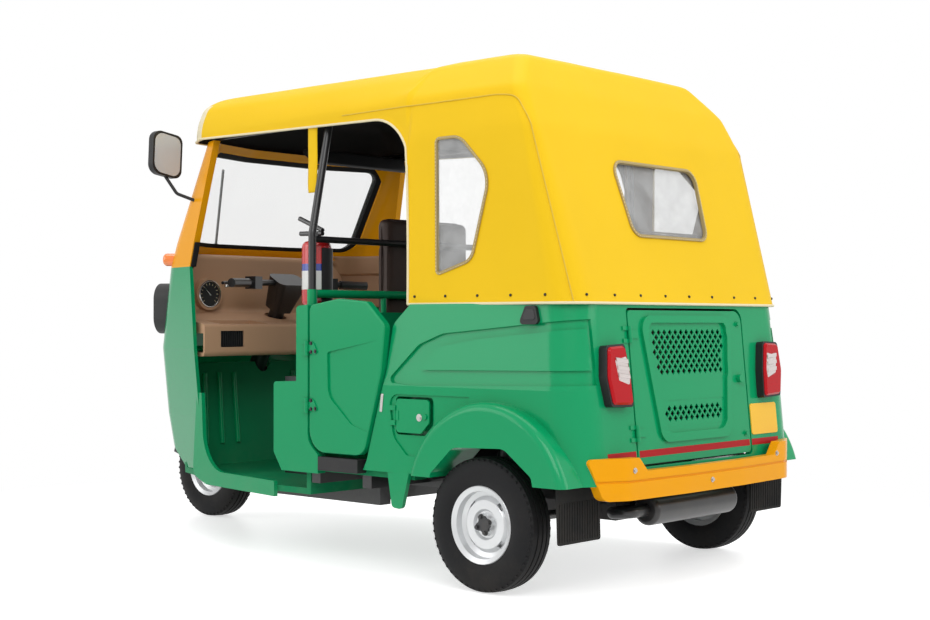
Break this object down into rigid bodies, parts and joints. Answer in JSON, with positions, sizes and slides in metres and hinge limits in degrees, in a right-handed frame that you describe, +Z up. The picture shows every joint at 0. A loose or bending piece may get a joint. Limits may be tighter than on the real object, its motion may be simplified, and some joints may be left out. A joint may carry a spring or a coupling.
{
  "type": "auto rickshaw",
  "caption": "Passenger auto rickshaw with a pressed steel tub, half doors, fabric canopy with clear windows, handlebar-steered front wheel and hinged rear engine cover.",
  "frame": {"origin": "on the ground, under the centre of the overall box", "axes": "+X forward, +Y to the left, +Z up"},
  "size_m": [2.635, 1.3, 1.6599],
  "materials": {
    "body_green": "gloss",
    "frame_orange": "gloss",
    "canvas_yellow": "coated cloth",
    "beige_plastic": "satin",
    "seat_brown": "coated cloth",
    "black_metal": "satin",
    "black_plastic": "satin",
    "black_rubber": "matt",
    "floor_grey": "matt",
    "tyre_black": "matt",
    "steel_rim": "satin",
    "clear_glass": "gloss",
    "clear_film": "hazy",
    "red_lens": "gloss",
    "orange_lens": "gloss",
    "mirror": "gloss",
    "cast_metal": "cast",
    "red_paint": "gloss",
    "plate_yellow": "satin"
  },
  "bodies": {
    "body": {"quarter_panel_left": "body_green", "quarter_panel_right": "body_green", "rear_panel": "body_green", "front_cowl": "body_green", "partition": "body_green", "front_side_panels": "body_green", "screen_frame": "frame_orange", "rear_bumper": "frame_orange", "canopy": "canvas_yellow", "curtain_strap": "canvas_yellow", "dashboard": "beige_plastic", "driver_cushion": "seat_brown", "driver_backrest": "seat_brown", "bench_cushion": "seat_brown", "bench_backrest": "seat_brown", "chassis_frame": "black_metal", "roof_posts": "black_metal", "canopy_bows": "black_metal", "seat_box": "black_metal", "bench_base": "black_metal", "rear_suspension": "black_metal", "drive_shafts": "black_metal", "muffler": "black_metal", "steering_head": "black_metal", "headlamp_bezels": "black_plastic", "wiper": "black_plastic", "mirrors": "black_plastic", "side_vents": "black_plastic", "sun_visor": "black_plastic", "foot_steps": "black_plastic", "mudflaps": "black_rubber", "screen_seal": "black_rubber", "floor_pan": "floor_grey", "screen_glass": "clear_glass", "headlamp_lenses": "clear_glass", "canopy_windows": "clear_film", "tail_lamps": "red_lens", "front_indicators": "orange_lens", "mirror_glasses": "mirror", "engine_block": "cast_metal", "fire_extinguisher": "red_paint", "number_plate": "plate_yellow"},
    "steering": {"front_fork": "black_metal", "front_mudguard": "black_metal", "handlebar": "black_metal"},
    "front_wheel": {"tyre_front": "tyre_black", "rim_front": "steel_rim"},
    "rear_wheel_left": {"tyre_rear_left": "tyre_black", "rim_rear_left": "steel_rim"},
    "rear_wheel_right": {"tyre_rear_right": "tyre_black", "rim_rear_right": "steel_rim"},
    "door_left": {"door_left": "body_green"},
    "door_right": {"door_right": "body_green"},
    "engine_hatch": {"engine_hatch": "body_green"},
    "fuel_flap": {"fuel_flap": "body_green"}
  },
  "joints": [
    {"name": "steering", "type": "hinge", "parent": "body", "child": "steering", "pos_m": [1.0805, 0, 0.2], "axis": [-0.4879, 0, 0.8729], "range_deg": [-30, 30]},
    {"name": "front_wheel_spin", "type": "hinge", "parent": "steering", "child": "front_wheel", "pos_m": [1.1025, 0, 0.2], "axis": [0, 1, 0], "continuous": true},
    {"name": "rear_left_wheel_spin", "type": "hinge", "parent": "body", "child": "rear_wheel_left", "pos_m": [-0.8975, 0.575, 0.2], "axis": [0, 1, 0], "continuous": true},
    {"name": "rear_right_wheel_spin", "type": "hinge", "parent": "body", "child": "rear_wheel_right", "pos_m": [-0.8975, -0.575, 0.2], "axis": [0, 1, 0], "continuous": true},
    {"name": "door_left_hinge", "type": "hinge", "parent": "body", "child": "door_left", "pos_m": [-0.1565, 0.637, 0.6], "axis": [0, 0, -1], "range_deg": [0, 70]},
    {"name": "door_right_hinge", "type": "hinge", "parent": "body", "child": "door_right", "pos_m": [-0.1565, -0.637, 0.6], "axis": [0, 0, 1], "range_deg": [0, 70]},
    {"name": "hatch_hinge", "type": "hinge", "parent": "body", "child": "engine_hatch", "pos_m": [-1.23841, 0.3255, 0.61563], "axis": [-0.0963, 0, -0.9954], "range_deg": [0, 100]},
    {"name": "fuel_flap_hinge", "type": "hinge", "parent": "body", "child": "fuel_flap", "pos_m": [-0.542, 0.6182, 0.508], "axis": [0, 0, -1], "range_deg": [0, 90]}
  ]
}
